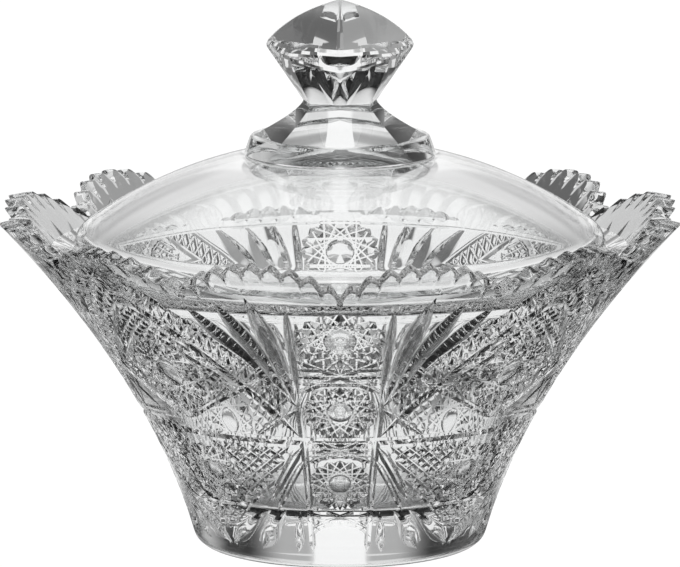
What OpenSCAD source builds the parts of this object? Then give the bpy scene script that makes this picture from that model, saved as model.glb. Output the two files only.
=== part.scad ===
// Lidded candy dish of clear pressed crystal: a flared bowl with a scalloped, toothed rim and
// star-and-fan cuts, a smooth domed lid that seats on a ledge inside the bowl, and a faceted knob.
// Millimetres. The origin is the middle of the foot, on the table; +Z is up and -Y is the front.

/* [Bowl] */
// Diameter over the crests of the scalloped rim
rim_d = 206; // [190:1:220]
// Height of the rim crests above the table
rim_h = 100; // [94:1:112]
// Diameter that the wall would have at the table, without the rounding
foot_d = 84.4; // [76:0.2:92]
// Rounding between the foot and the wall
foot_round = 5; // [3:0.5:7]
// How far the wall bows in from a straight flare
wall_bow = 8.6; // [6:0.1:9.5]
// Level thickness of the wall below the ledge
side_wall = 8; // [6:0.1:9.5]
// Level thickness of the wall at the rim crests
rim_wall = 6; // [4.5:0.1:7.5]
// Thickness of the floor
floor_t = 16; // [10:0.5:18]
// Rounding between the floor and the wall inside
floor_round = 9; // [5:0.5:12]
// Depth of the hollow ground under the foot
kick_h = 0.8; // [0.4:0.1:2]
// Width of the ring that the foot stands on
stand_w = 9; // [6:0.5:12]

/* [Rim] */
// Number of scallops round the rim
scallops = 12; // [8:4:16]
// Number of teeth in each scallop
teeth = 9; // [5:2:11]
// Height of a scallop from its valley to its crest
scallop_depth = 9.5; // [6:0.5:11]
// Depth of the notch between two teeth
tooth_depth = 1.9; // [1:0.1:2.4]
// How much higher the inner edge of the rim stands than the outer edge
rim_rise = 1.2; // [0.6:0.1:2]

/* [Seat for the lid] */
// Drop from the rim crests to the ledge
seat_drop = 14; // [13:0.5:18]
// Level thickness of the wall beside the lid
seat_wall = 11.3; // [9:0.1:13]
// Width of the ledge
ledge_w = 4.5; // [3:0.1:6]
// Height of the slope that rises from the seat to the inner wall
seat_rise = 2; // [1:0.1:2.4]
// Level thickness of the wall at the top of that slope
slope_wall = 7.2; // [6:0.1:8.5]
// Height of the thick shoulder below the ledge
shoulder_h = 24; // [16:1:32]
// Gap round the edge of the lid
lid_gap = 1; // [0.5:0.1:2]

/* [Lid] */
// Thickness of the dome
lid_t = 9; // [7:0.1:10]
// Height of the lid from its seat to the flat land under the knob
lid_rise = 29.5; // [26:0.5:36]
// Height of the lid's edge, up to where the dome would start without the rounding
edge_h = 6.4; // [5:0.1:8]
// Width of the flat ground face under the lid's edge
edge_w = 8; // [5:0.1:9]
// Rounding between the lid's edge and the dome
edge_round = 6.5; // [3:0.5:7]
// Width of the land that shows round the knob
land_margin = 0.6; // [0.3:0.1:1.5]

/* [Knob] */
// Diameter of the knob's round foot
knob_foot_d = 56; // [48:0.5:62]
// Thickness of the knob's round foot
knob_foot_t = 5.6; // [3.5:0.1:7]
// How much narrower the foot is at its top
knob_foot_taper = 1.5; // [0.5:0.1:3]
// Width over the corners of the flare where it meets the foot
flare_w = 51; // [44:0.5:52]
// How hollow the flare is: 1 is straight
flare_curve = 1.4; // [1:0.1:2]
// Width over the corners at the waist
waist_w = 21.4; // [16:0.2:26]
// Height of the waist above the land
waist_h = 16; // [12:0.2:18]
// Width over the corners of the girdle, the widest part of the head
girdle_w = 43.6; // [36:0.2:50]
// Height of the girdle's lower edge above the land
girdle_h = 31; // [26:0.2:34]
// Height of the rounded girdle
girdle_t = 3.4; // [2:0.1:5]
// Height of the knob from the land to its tip
knob_h = 45.8; // [40:0.2:50]
// Thickness of the bonding film between the lid and the knob
bond_t = 0.15; // [0.1:0.05:0.3]
// How far the film stays back from the edge of the knob's foot
bond_inset = 0.8; // [0.4:0.1:2]
// Radius of the blunt tip
tip_r = 0.8; // [0.4:0.1:2]
// Radius of every second corner at the foot of the flare, as a share of the other corners' radius
flare_share = 0.94; // [0.86:0.01:1.1]
// The same share at the waist
waist_share = 1.16; // [1:0.01:1.2]
// The same share at the foot of the head, where it draws the faces in between four ridges
head_share = 0.77; // [0.72:0.01:1]
// The same share at the tip
tip_share = 0.75; // [0.72:0.01:1]
// How far the ridges of the head bulge out
head_bulge = 1.9; // [0:0.1:2.5]
// Where the bulge is fullest: below 1 it moves down towards the girdle
bulge_power = 0.8; // [0.6:0.1:1.2]

/* [Cuts] */
// Half the angle of the upright star bands
band_half = 10; // [8:0.5:12]
// Height of the lowest star
star_z = 27.3; // [24:0.1:30]
// Height from star to star
star_pitch = 23.4; // [21:0.1:25]
// Height of the star in the upper panels
panel_star_z = 59; // [56:0.5:62]
// Diameter of the round button in the highest star of a band
button_d = 10; // [8:0.5:11]
// How much smaller the buttons get from star to star down a band
button_step = 1.7; // [0.5:0.1:2]
// Depth of a star's round button
button_depth = 1.3; // [1:0.1:1.6]
// Number of points of a star
star_count = 16; // [8:4:24]
// Diameter of the highest star of a band over its points
star_d = 28; // [24:0.5:30]
// How much smaller the stars get from star to star down a band
star_step = 4.5; // [3:0.1:6]
// Share of a star's radius at the notches between its points
star_notch = 0.62; // [0.5:0.01:0.8]
// Depth of a star in its middle
star_depth = 0.9; // [0.6:0.1:1.2]
// Height of the mitre ring between the upper and the lower panels
ring_z = 41.5; // [38:0.5:44]
// Height at which the fans start
fan_z = 53.5; // [50:0.5:58]
// Plain band between the scallop valleys and the tips of the fans
plain_band = 1.5; // [1:0.5:4]
// Leaves in each fan
leaves = 3; // [2:1:4]
// Angle of the first leaf's tip from the middle of the star band
leaf_a = 17; // [15:0.5:19]
// Angle from one leaf's tip to the next
leaf_step = 6.5; // [5:0.5:7]
// Drop from one leaf's tip to the next
leaf_drop = 1.8; // [1:0.1:3]
// Angle between the roots of neighbouring leaves
root_a = 1; // [0.5:0.1:1.5]
// Share of a leaf's length, from its tip, at which it is widest
leaf_belly = 0.38; // [0.3:0.01:0.5]
// Width of the fan leaves
leaf_w = 6.5; // [4:0.1:8]
// Depth of the fan leaves
leaf_depth = 2; // [1:0.1:2.4]
// Width of the upright blades beside the star bands
blade_w = 3.2; // [2:0.1:4]
// Depth of the upright blades
blade_depth = 0.8; // [0.4:0.1:1.2]
// Width of the mitre lines
mitre_w = 2.6; // [1.6:0.1:4]
// Depth of the mitre lines
mitre_depth = 0.9; // [0.4:0.1:1.4]
// Height at which the lower leaves start
skirt_top = 18.5; // [16:0.5:20]
// Height at which the lower leaves end
skirt_z = 6; // [5:0.5:9]
// Angle of the first lower leaf's upper end from the middle of the star band
skirt_first_a = 14; // [12:0.5:16]
// Angle between the upper ends of neighbouring lower leaves
skirt_root_a = 5; // [4:0.1:6]
// How far round the wall the first lower leaf leans
skirt_lean = 5.5; // [4:0.1:7]
// How much further each next lower leaf leans
skirt_fan = 7.5; // [6:0.1:8]
// Width of the lower leaves
skirt_w = 4.6; // [3:0.1:6]
// Depth of the lower leaves
skirt_depth = 1; // [0.5:0.1:1.5]

/* [Hidden] */
$fn = 96;
rim_r = rim_d / 2;
foot_r = foot_d / 2;
seat_z = rim_h - seat_drop;
seat_r = wall_r(seat_z) - seat_wall;
ledge_r = seat_r - ledge_w;
lid_r = seat_r - lid_gap;
land_z = seat_z + lid_rise;
land_r = knob_foot_d / 2 + land_margin;
knob_z = land_z + bond_t;
band_top = rim_h - scallop_depth - plain_band;
quarter = 90;
panel_a = quarter / 2;
wall_steps = 10;
round_steps = 6;
rim_steps = 3;
dome_steps = 24;
tooth_steps = 6;
overshoot = 2;
lift = 0.35;
star_lift = 0.12;
bevel = 0.8;

// Radius of the outer wall at a height
function wall_r(z) = let (s = z / rim_h) foot_r + (rim_r - foot_r) * s - 4 * wall_bow * s * (1 - s);
// Radius of the inner wall below the shoulder at a height
function inner_r(z) = wall_r(z) - side_wall;
// Radius of the inner wall above the seat at a height
function upper_r(z) =
    let (slope_z = seat_z + seat_rise)
    wall_r(z) - lerp(slope_wall, rim_wall, (z - slope_z) / (rim_h - slope_z));
// Gain of radius for each millimetre of height
function wall_m(z) = ((rim_r - foot_r) - 4 * wall_bow * (1 - 2 * z / rim_h)) / rim_h;
// Point on the outer wall at an angle from the front and a height, moved out by off
function wall_pt(a, z, off) =
    let (m = wall_m(z), k = 1 / sqrt(1 + m * m), r = wall_r(z) + off * k)
    [r * sin(a), -r * cos(a), z - off * k * m];
// Points of an arc about a centre
function arc(c, r, from, to, steps) =
    [for (i = [0:steps]) let (t = from + (to - from) * i / steps) [c[0] + r * cos(t), c[1] + r * sin(t)]];
// Rounded corner between the level line z = h and a wall that leaves it at radius r0 with slope m
function corner(r0, h, f, m) = arc([r0 + m * f - f * sqrt(1 + m * m), h + f], f, -90, -atan(m), round_steps);
function lerp(a, b, t) = a + (b - a) * t;

// Section of the bowl before the rim is cut, from the axis under the foot round to the floor
function bowl_section() =
    let (
        foot_in = foot_r - foot_round - stand_w,
        inner_low = floor_t + floor_round,
        joint_z = seat_z - shoulder_h,
        top = rim_h + overshoot,
        slope_z = seat_z + seat_rise
    )
    concat(
        [[0, kick_h], [foot_in, kick_h], [foot_in + kick_h, 0]],
        corner(foot_r, 0, foot_round, wall_m(0)),
        [for (i = [1:wall_steps]) let (z = lerp(foot_round, top, i / wall_steps)) [wall_r(z), z]],
        [for (i = [0:rim_steps]) let (z = lerp(top, slope_z, i / rim_steps)) [upper_r(z), z]],
        [[seat_r, seat_z]],
        [[ledge_r + bevel, seat_z], [ledge_r, seat_z - bevel]],
        [for (i = [0:round_steps]) let (z = lerp(joint_z, inner_low, i / round_steps)) [inner_r(z), z]],
        [for (i = [round_steps:-1:0]) corner(inner_r(floor_t), floor_t, floor_round, wall_m(floor_t))[i]],
        [[0, floor_t]]
    );

// Height of the rim's inner edge: an arch over each scallop, with round teeth along it
function rim_z(k) =
    let (
        steps = teeth * tooth_steps,
        u = 2 * (k % steps) / steps - 1,
        w = 2 * (k % tooth_steps) / tooth_steps - 1
    )
    rim_h - scallop_depth * u * u - tooth_depth * (1 - cos(180 * w)) / 2;

// Everything above the toothed rim line, as a ring with radial rulings
module above_rim() {
    count = scallops * teeth * tooth_steps;
    r_in = seat_r;
    r_out = rim_r + 2 * overshoot;
    fall = rim_rise / rim_wall;
    top = rim_h + 2 * overshoot;
    points = [for (k = [0:count - 1])
        let (a = 360 * k / count, z = rim_z(k), c = cos(a), s = sin(a), edge = wall_r(z) - rim_wall)
        each [
            [r_in * c, r_in * s, z + (edge - r_in) * fall],
            [r_out * c, r_out * s, z - (r_out - edge) * fall],
            [r_out * c, r_out * s, top],
            [r_in * c, r_in * s, top]
        ]];
    faces = [for (k = [0:count - 1], j = [0:3]) let (p = 4 * k, q = 4 * ((k + 1) % count), n = (j + 1) % 4)
        each [[p + j, q + n, q + j], [p + j, p + n, q + n]]];
    polyhedron(points, faces);
}

// One V cut on the wall between two [angle, height] ends, widest at the share belly of its length
module cut(from, to, width, depth, belly = 0.5, sections = 5) {
    spots = [for (i = [1:sections]) i / (sections + 1)];
    middle = [for (t = spots)
        let (
            a = lerp(from[0], to[0], t),
            z = lerp(from[1], to[1], t),
            m = wall_m(z),
            du = wall_r(z) * (to[0] - from[0]) * PI / 180,
            dv = (to[1] - from[1]) * sqrt(1 + m * m),
            full = t < belly ? sin(90 * t / belly) : sin(90 * (1 - t) / (1 - belly)),
            half = width / 2 * full,
            side_a = -dv / norm([du, dv]) * half / wall_r(z) * 180 / PI,
            side_z = du / norm([du, dv]) * half / sqrt(1 + m * m)
        )
        each [
            wall_pt(a + side_a, z + side_z, lift),
            wall_pt(a, z, -depth * full),
            wall_pt(a - side_a, z - side_z, lift)
        ]];
    points = concat([wall_pt(from[0], from[1], lift)], middle, [wall_pt(to[0], to[1], lift)]);
    last = len(points) - 1;
    sides = [for (i = [0:sections - 2], j = [0:2])
        let (p = 1 + 3 * i, n = (j + 1) % 3)
        each [[p + j, p + n, p + 3 + n], [p + j, p + 3 + n, p + 3 + j]]];
    ends = [for (j = [0:2]) let (n = (j + 1) % 3)
        each [[0, 1 + n, 1 + j], [last, last - 3 + j, last - 3 + n]]];
    polyhedron(points, concat(sides, ends));
}

// Round hollow on the wall at an angle and a height, with a diameter
module button(a, z, d) {
    r = (d * d / 4 + button_depth * button_depth) / (2 * button_depth);
    translate(wall_pt(a, z, r - button_depth)) sphere(r);
}

// Pointed star on the wall at an angle and a height, with a diameter: it deepens towards its middle
module star(a, z, d) {
    m = wall_m(z);
    count = 2 * star_count;
    rim = [for (i = [0:count - 1])
        let (
            r = d / 2 * (i % 2 == 0 ? 1 : star_notch),
            side_a = r * sin(360 * i / count) / wall_r(z) * 180 / PI,
            side_z = r * cos(360 * i / count) / sqrt(1 + m * m)
        )
        wall_pt(a + side_a, z + side_z, star_lift)];
    points = concat(rim, [wall_pt(a, z, -star_depth), wall_pt(a, z, overshoot)]);
    faces = [for (i = [0:count - 1]) let (n = (i + 1) % count) each [[n, i, count], [i, n, count + 1]]];
    polyhedron(points, faces);
}

// A star with its round button, so many steps smaller than the largest
module band_star(a, z, steps) {
    star(a, z, star_d - star_step * steps);
    button(a, z, button_d - button_step * steps);
}

// The cuts of one eighth of the bowl, from the middle of a star band to the middle of a panel
module eighth_cuts() {
    cut([band_half, band_top - leaf_drop], [band_half, fan_z], blade_w, blade_depth, leaf_belly);
    for (i = [0:leaves - 1])
        cut([leaf_a + leaf_step * i, band_top - leaf_drop * i], [band_half + root_a * (i + 1), fan_z],
            leaf_w, leaf_depth, leaf_belly);
    cut([panel_a, band_top - 2 * leaf_drop], [band_half, ring_z], mitre_w, mitre_depth);
    cut([band_half, fan_z - 1], [leaf_a + leaf_step, ring_z + 1], mitre_w, mitre_depth);
    cut([band_half, ring_z - 1], [leaf_a + leaf_step, skirt_top + mitre_w], mitre_w, mitre_depth);
    for (i = [0:leaves - 1])
        cut([skirt_first_a + skirt_root_a * i, skirt_top],
            [skirt_first_a + skirt_lean + (skirt_root_a + skirt_fan) * i, skirt_z],
            skirt_w, skirt_depth, 1 - leaf_belly);
}

// The mitre ring that parts the upper panels from the lower ones
module ring_cut() {
    r = wall_r(ring_z);
    rotate_extrude()
        polygon([
            [r - mitre_depth, ring_z],
            [r + overshoot, ring_z - mitre_w],
            [r + overshoot, ring_z + mitre_w]
        ]);
}

module bowl() {
    color("gainsboro", 0.5)
    difference() {
        rotate_extrude() polygon(bowl_section());
        above_rim();
        ring_cut();
        for (q = [0:3]) rotate(quarter * q) {
            eighth_cuts();
            mirror([1, 0, 0]) eighth_cuts();
            for (i = [0:2]) band_star(0, star_z + star_pitch * i, 2 - i);
            band_star(panel_a, star_z, 1);
            band_star(panel_a, panel_star_z, 0);
        }
    }
}

module lid() {
    edge_z = seat_z + edge_h;
    dome_rise = land_z - edge_z;
    centre_z = (land_z + edge_z) / 2 - (lid_r * lid_r - land_r * land_r) / (2 * dome_rise);
    dome_r = norm([land_r, land_z - centre_z]);
    hollow_r = dome_r - lid_t;
    ground_r = lid_r - edge_w;
    ground_a = acos(ground_r / hollow_r);
    round_r = lid_r - edge_round;
    round_z = centre_z + sqrt(pow(dome_r - edge_round, 2) - round_r * round_r);
    round_a = atan2(round_z - centre_z, round_r);
    land_a = atan2(land_z - centre_z, land_r);
    color("gainsboro", 0.5)
    rotate_extrude()
    polygon(concat(
        [[ground_r + bevel, seat_z], [lid_r - bevel, seat_z], [lid_r, seat_z + bevel]],
        arc([round_r, round_z], edge_round, 0, round_a, round_steps),
        [for (i = [1:dome_steps]) arc([0, centre_z], dome_r, round_a, land_a, dome_steps)[i]],
        [[0, land_z]],
        arc([0, centre_z], hollow_r, 90, ground_a, dome_steps),
        [[ground_r, seat_z + bevel]]
    ));
}

// Eight corners of the knob at a height; every second corner stands at a share of the radius.
// The quads between two rings are split alike on both sides of a ridge, so that the knob mirrors itself
function knob_ring(r, z, share = 1) =
    [for (i = [0:7]) let (k = i % 2 == 0 ? r : r * share) [k * sin(45 * i), k * cos(45 * i), z]];

module knob() {
    sink = knob_foot_t / 2;
    girdle_r = girdle_w / 2;
    head_z = girdle_h + girdle_t;
    flare = [for (i = [0:round_steps]) let (u = 1 - i / round_steps)
        knob_ring(
            lerp(waist_w, flare_w, pow(u, flare_curve)) / 2,
            lerp(waist_h, knob_foot_t, u),
            lerp(waist_share, flare_share, u)
        )];
    head = [for (i = [1:round_steps - 1]) let (t = i / round_steps)
        knob_ring(
            lerp(girdle_r - bevel, tip_r, t),
            lerp(head_z, knob_h, t) + head_bulge * sin(180 * pow(t, bulge_power)),
            lerp(head_share, tip_share, t)
        )];
    rings = concat(
        [knob_ring(flare_w / 2, sink, flare_share)],
        flare,
        [knob_ring(girdle_r - bevel, girdle_h)],
        [knob_ring(girdle_r, girdle_h + girdle_t / 2, (1 + head_share) / 2)],
        [knob_ring(girdle_r - bevel, head_z, head_share)],
        head
    );
    points = concat([for (ring = rings, p = ring) p], [[0, 0, sink], [0, 0, knob_h]]);
    count = len(rings);
    bottom = 8 * count;
    tip = bottom + 1;
    faces = concat(
        [for (i = [0:count - 2], j = [0:7]) let (p = 8 * i, n = (j + 1) % 8)
            each j % 2 == 0
                ? [[p + j, p + 8 + n, p + 8 + j], [p + j, p + n, p + 8 + n]]
                : [[p + j, p + n, p + 8 + j], [p + n, p + 8 + n, p + 8 + j]]],
        [for (j = [0:7]) [bottom, (j + 1) % 8, j]],
        [for (j = [0:7]) [tip, 8 * (count - 1) + j, 8 * (count - 1) + (j + 1) % 8]]
    );
    disc_r = knob_foot_d / 2;
    color("gainsboro", 0.5)
    translate([0, 0, knob_z])
    union() {
        polyhedron(points, faces);
        rotate_extrude()
            polygon([
                [0, 0], [disc_r - bevel / 2, 0], [disc_r, bevel / 2],
                [disc_r - knob_foot_taper, knob_foot_t - bevel],
                [disc_r - knob_foot_taper - bevel, knob_foot_t],
                [0, knob_foot_t]
            ]);
    }
}

module knob_bond() {
    color("white", 0.4)
    translate([0, 0, land_z])
    cylinder(r = knob_foot_d / 2 - bond_inset, h = bond_t);
}

bowl();
lid();
knob();
knob_bond();
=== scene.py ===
import math

import bmesh
import bpy
import numpy as np
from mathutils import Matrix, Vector
from mathutils.geometry import delaunay_2d_cdt


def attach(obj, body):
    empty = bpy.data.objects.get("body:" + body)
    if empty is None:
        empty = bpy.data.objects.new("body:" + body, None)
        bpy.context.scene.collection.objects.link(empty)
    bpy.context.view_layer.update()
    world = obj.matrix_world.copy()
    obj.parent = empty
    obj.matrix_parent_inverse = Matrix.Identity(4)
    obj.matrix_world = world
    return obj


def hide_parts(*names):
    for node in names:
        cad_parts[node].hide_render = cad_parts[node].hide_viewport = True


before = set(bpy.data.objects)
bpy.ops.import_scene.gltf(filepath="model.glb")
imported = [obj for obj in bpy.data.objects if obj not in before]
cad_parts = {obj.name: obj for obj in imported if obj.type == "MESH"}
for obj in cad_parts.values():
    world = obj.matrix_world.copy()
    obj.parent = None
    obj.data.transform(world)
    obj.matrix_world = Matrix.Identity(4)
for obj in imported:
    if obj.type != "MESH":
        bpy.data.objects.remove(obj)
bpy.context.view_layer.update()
scene = bpy.context.scene

# Sizes of the bowl in millimetres, as in the construction
MM = 0.001
RIM_R = 103.0
RIM_H = 100.0
FOOT_R = 42.2
FOOT_ROUND = 5.0
WALL_BOW = 8.6
SIDE_WALL = 8.0
RIM_WALL = 6.0
FLOOR_T = 16.0
FLOOR_ROUND = 9.0
KICK_H = 0.8
STAND_W = 9.0
SCALLOPS = 12
TEETH = 9
SCALLOP_DEPTH = 9.5
TOOTH_DEPTH = 1.9
RIM_RISE = 1.2
SEAT_DROP = 14.0
SEAT_WALL = 11.3
SEAT_RISE = 2.0
SLOPE_WALL = 7.2
FANG = 0.7
FANG_H = 2.2
LEDGE_W = 4.5
SHOULDER_H = 24.0
BEVEL = 0.8

# Sizes of the lid, which stands a hair above its seat
LID_GAP = 1.0
LID_RISE = 29.5
LID_T = 9.0
LID_LIFT = 0.04
EDGE_H = 6.4
EDGE_W = 8.0
EDGE_ROUND = 6.5
LAND_MARGIN = 0.6

# Sizes of the knob and of the film below it, with a hair of air on both sides of the film
KNOB_FOOT_R = 28.0
KNOB_FOOT_T = 5.6
FLARE_R = 25.5
FLARE_CURVE = 1.4
WAIST_R = 10.7
WAIST_H = 16.0
GIRDLE_R = 21.8
GIRDLE_H = 31.0
GIRDLE_T = 3.4
KNOB_H = 45.8
FLARE_SHARE = 0.94
WAIST_SHARE = 1.16
HEAD_BULGE = 1.9
BULGE_POWER = 0.8
BOND_T = 0.15
BOND_INSET = 0.8
FILM_GAP = 0.02


# Radius of the outer wall at a height
def wall_r(z):
    s = z / RIM_H
    return FOOT_R + (RIM_R - FOOT_R) * s - 4 * WALL_BOW * s * (1 - s)


# Gain of radius for each millimetre of height
def wall_m(z):
    return ((RIM_R - FOOT_R) - 4 * WALL_BOW * (1 - 2 * z / RIM_H)) / RIM_H


SEAT_Z = RIM_H - SEAT_DROP
SLOPE_Z = SEAT_Z + SEAT_RISE
SEAT_R = wall_r(SEAT_Z) - SEAT_WALL
LEDGE_R = SEAT_R - LEDGE_W
LID_R = SEAT_R - LID_GAP
LAND_Z = SEAT_Z + LID_RISE
LAND_R = KNOB_FOOT_R + LAND_MARGIN
KNOB_Z = LAND_Z + BOND_T
HEAD_H = GIRDLE_H + GIRDLE_T


# Radius of the inner wall above the seat at a height
def upper_r(z):
    return wall_r(z) - (SLOPE_WALL + (RIM_WALL - SLOPE_WALL) * (z - SLOPE_Z) / (RIM_H - SLOPE_Z))


# The wall laid flat: X runs round it at a fixed radius and Y runs up its slope
FLAT_R = 70.0
FLAT_TOP = 106.0
FLAT_STEPS = 2121
EIGHTH = 45
DOMAIN_X = math.radians(EIGHTH) * FLAT_R
step_z = np.linspace(0.0, FLAT_TOP, FLAT_STEPS)
step_length = np.sqrt(1 + wall_m(step_z) ** 2) * (step_z[1] - step_z[0])
step_y = np.concatenate(([0.0], np.cumsum((step_length[1:] + step_length[:-1]) / 2)))


def flat_y(z):
    return float(np.interp(z, step_z, step_y))


def flat(a, z):
    return np.array((math.radians(a) * FLAT_R, flat_y(z)))


# Every cut is a set of flat facets: a convex outline on the flat wall and a plane that gives the depth
LEAST_AREA = 1e-7
SIDE_ROOM = 0.01
facets = []
groups = [0]


def add_facet(points, depths, group):
    p = np.array(points, float)
    d = np.array(depths, float)
    cross = (p[1, 0] - p[0, 0]) * (p[2, 1] - p[0, 1]) - (p[1, 1] - p[0, 1]) * (p[2, 0] - p[0, 0])
    if abs(cross) < LEAST_AREA:
        return
    if p[:, 0].max() < -SIDE_ROOM or p[:, 0].min() > DOMAIN_X + SIDE_ROOM:
        return
    plane = np.linalg.solve(np.column_stack((p[:3], np.ones(3))), d[:3])
    if cross < 0:
        p = p[::-1]
    facets.append((p, plane, group))


# A facet with three corners, each given as its place and its depth
def add_triangle(p, q, r, group):
    add_facet([p[0], q[0], r[0]], (p[1], q[1], r[1]), group)


def new_group():
    groups[0] += 1
    return groups[0]


# Usual taper and flat bottom of a mitre in millimetres, and the longest taper as a share of its length
MITRE_TAPER = 3.0
MITRE_BOTTOM = 0.5
TAPER_LIMIT = 0.45
# Flat bottom of a fine mitre, as a share of its width
FINE_BOTTOM = 0.2
# Powers of the curves across a leaf and across a round dish
LEAF_POWER = 1.5
DISH_POWER = 4
# Stars: points, points from one end of a ray to the other, and shares of the radius and of a ray's width
STAR_POINTS = 16
STAR_STEP = 6
STAR_TAPER = 0.14
BUTTON_LAP = 0.05
# Crosshatch: angle, lines to each side of the middle, and half the longest line
HATCH_TURN = math.radians(42)
HATCH_LINES = 20
HATCH_REACH = 100.0


# A straight mitre with pointed ends and a narrow flat bottom, between two spots given as angle and height
def mitre(start, end, width, depth, taper=MITRE_TAPER, bottom=MITRE_BOTTOM):
    k = wall_r((start[1] + end[1]) / 2) / FLAT_R
    mitre_flat(flat(*start), flat(*end), width, depth, taper, k, bottom)


def mitre_flat(p, q, width, depth, taper, k, bottom):
    scale = np.array((k, 1.0))
    a = p * scale
    b = q * scale
    length = float(np.linalg.norm(b - a))
    along = (b - a) / length
    across = np.array((-along[1], along[0]))
    taper = min(taper, length * TAPER_LIMIT)
    low = a + along * taper
    high = b - along * taper
    group = new_group()
    floor_side = across * bottom / 2

    def facet(points, depths):
        add_facet([point / scale for point in points], depths, group)

    facet([low - floor_side, high - floor_side, high + floor_side, low + floor_side], (depth,) * 4)
    for tip, near in ((a, low), (b, high)):
        facet([tip, near - floor_side, near + floor_side], (0, depth, depth))
    for sign in (1, -1):
        inner = floor_side * sign
        outer = across * sign * width / 2
        facet([low + inner, high + inner, high + outer, low + outer], (depth, depth, 0, 0))
        facet([a, low + inner, low + outer], (0, depth, 0))
        facet([b, high + inner, high + outer], (0, depth, 0))


# A leaf-shaped cut with soft shoulders and a steep middle, widest at the share belly of its length
def leaf(start, end, width, depth, belly, sections=20, columns=10):
    group = new_group()
    rows = []
    for i in range(sections + 1):
        t = i / sections
        a = start[0] + (end[0] - start[0]) * t
        z = start[1] + (end[1] - start[1]) * t
        k = wall_r(z) / FLAT_R
        du = wall_r(z) * math.radians(end[0] - start[0])
        dv = (end[1] - start[1]) * math.sqrt(1 + wall_m(z) ** 2)
        n = math.hypot(du, dv)
        share = t / belly if t < belly else (1 - t) / (1 - belly)
        full = math.sin(math.pi / 2 * share)
        side = np.array((-dv / n / k, du / n)) * width / 2 * full
        middle = flat(a, z)
        row = []
        for j in range(columns + 1):
            u = 2 * j / columns - 1
            row.append((middle + side * u, depth * full * (1 - abs(u)) ** LEAF_POWER))
        rows.append(row)
    for low, high in zip(rows, rows[1:]):
        for j in range(columns):
            p, q, r, s = low[j], low[j + 1], high[j + 1], high[j]
            if j < columns / 2:
                add_triangle(p, q, r, group)
                add_triangle(p, r, s, group)
            else:
                add_triangle(p, q, s, group)
                add_triangle(q, r, s, group)


# A round dish with a nearly flat middle and a steep edge
def dish(a, z, radius, depth, rings=6, sectors=32):
    group = new_group()
    k = wall_r(z) / FLAT_R
    centre = flat(a, z)

    def spot(ring, sector):
        share = math.sin(math.pi / 2 * ring / rings)
        t = 2 * math.pi * sector / sectors
        place = centre + np.array((math.cos(t) / k, math.sin(t))) * radius * share
        return place, depth * (1 - share ** DISH_POWER)

    for i in range(sectors):
        for ring in range(rings):
            p, q = spot(ring, i), spot(ring, i + 1)
            r, s = spot(ring + 1, i), spot(ring + 1, i + 1)
            add_triangle(p, r, s, group)
            add_triangle(p, s, q, group)


# A star of sixteen rays: mitres that pass the round dish in its middle
def hobstar(a, z, radius, width, depth, dish_depth):
    k = wall_r(z) / FLAT_R
    centre = flat(a, z)
    reach = math.cos(math.pi * STAR_STEP / STAR_POINTS)
    for i in range(STAR_POINTS):
        t = 2 * math.pi * i / STAR_POINTS
        u = t + 2 * math.pi * STAR_STEP / STAR_POINTS
        p = centre + np.array((math.cos(t) / k, math.sin(t))) * radius
        q = centre + np.array((math.cos(u) / k, math.sin(u))) * radius
        mitre_flat(p, q, width, depth, radius * STAR_TAPER, k, width * FINE_BOTTOM)
    dish(a, z, radius * reach + width * BUTTON_LAP, dish_depth)


# Part of a line inside a convex outline, as a range along the line
def clip_line(origin, direction, outline, low, high):
    for i in range(len(outline)):
        a = outline[i]
        b = outline[(i + 1) % len(outline)]
        nx = a[1] - b[1]
        ny = b[0] - a[0]
        rate = nx * direction[0] + ny * direction[1]
        value = nx * (origin[0] - a[0]) + ny * (origin[1] - a[1])
        if abs(rate) < 1e-12:
            if value < -1e-9:
                return 1.0, 0.0
            continue
        t = -value / rate
        if rate > 0:
            low = max(low, t)
        else:
            high = min(high, t)
        if low > high:
            return 1.0, 0.0
    return low, high


# Fine crossed mitres that fill a convex outline of spots, apart from a star in its middle
def crosshatch(outline, star, star_r, pitch, width, depth):
    corners = [flat(a, z) for a, z in outline]
    centre = flat(*star)
    k = wall_r(star[1]) / FLAT_R
    for turn in (HATCH_TURN, -HATCH_TURN):
        along = np.array((math.cos(turn) / k, math.sin(turn)))
        across = np.array((-math.sin(turn) / k, math.cos(turn)))
        for i in range(-HATCH_LINES, HATCH_LINES + 1):
            off = (i + 0.5) * pitch
            origin = centre + across * off
            low, high = clip_line(origin, along, corners, -HATCH_REACH, HATCH_REACH)
            if high - low < 2 * width:
                continue
            half = math.sqrt(max(0.0, star_r ** 2 - off ** 2))
            stretches = [(low, -half), (half, high)] if half > 0 else [(low, high)]
            for start, end in stretches:
                if end - start > 2 * width:
                    p = origin + along * start
                    q = origin + along * end
                    mitre_flat(p, q, width, depth, width, k, width * FINE_BOTTOM)


# A cut with its mirror images across the middle of the band and across the middle of the panel
def both_sides(shape, start, end, *rest):
    shape(start, end, *rest)
    shape((-start[0], start[1]), (-end[0], end[1]), *rest)
    shape((90 - start[0], start[1]), (90 - end[0], end[1]), *rest)


# Places of the cuts, as angle from the middle of a band in degrees and height in millimetres
BAND = 10.2
RING_Z = 41.5
FAN_Z = 53.5
SKIRT_Z = 18.5

# Stars: angle, height, radius, width and depth of the rays, depth of the round dish
BAND_STARS = (
    (0, 74.1, 13.3, 2.8, 1.0, 1.3),
    (0, 50.7, 10.9, 2.4, 0.9, 1.1),
    (0, 27.3, 9.0, 2.0, 0.75, 0.9),
)
UPPER_STAR = (45, 59.3, 14.0, 2.8, 1.0, 1.3)
LOWER_STAR = (45, 28.4, 10.4, 2.3, 0.85, 1.0)

# Crossed bars between the stars: height of the crossing, and rise of the bars to each side
BARS = ((62.8, 5.6), (38.6, 4.6), (17.0, 3.6))
RUNG_SHARES = (-0.42, 0.0, 0.42)

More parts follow.
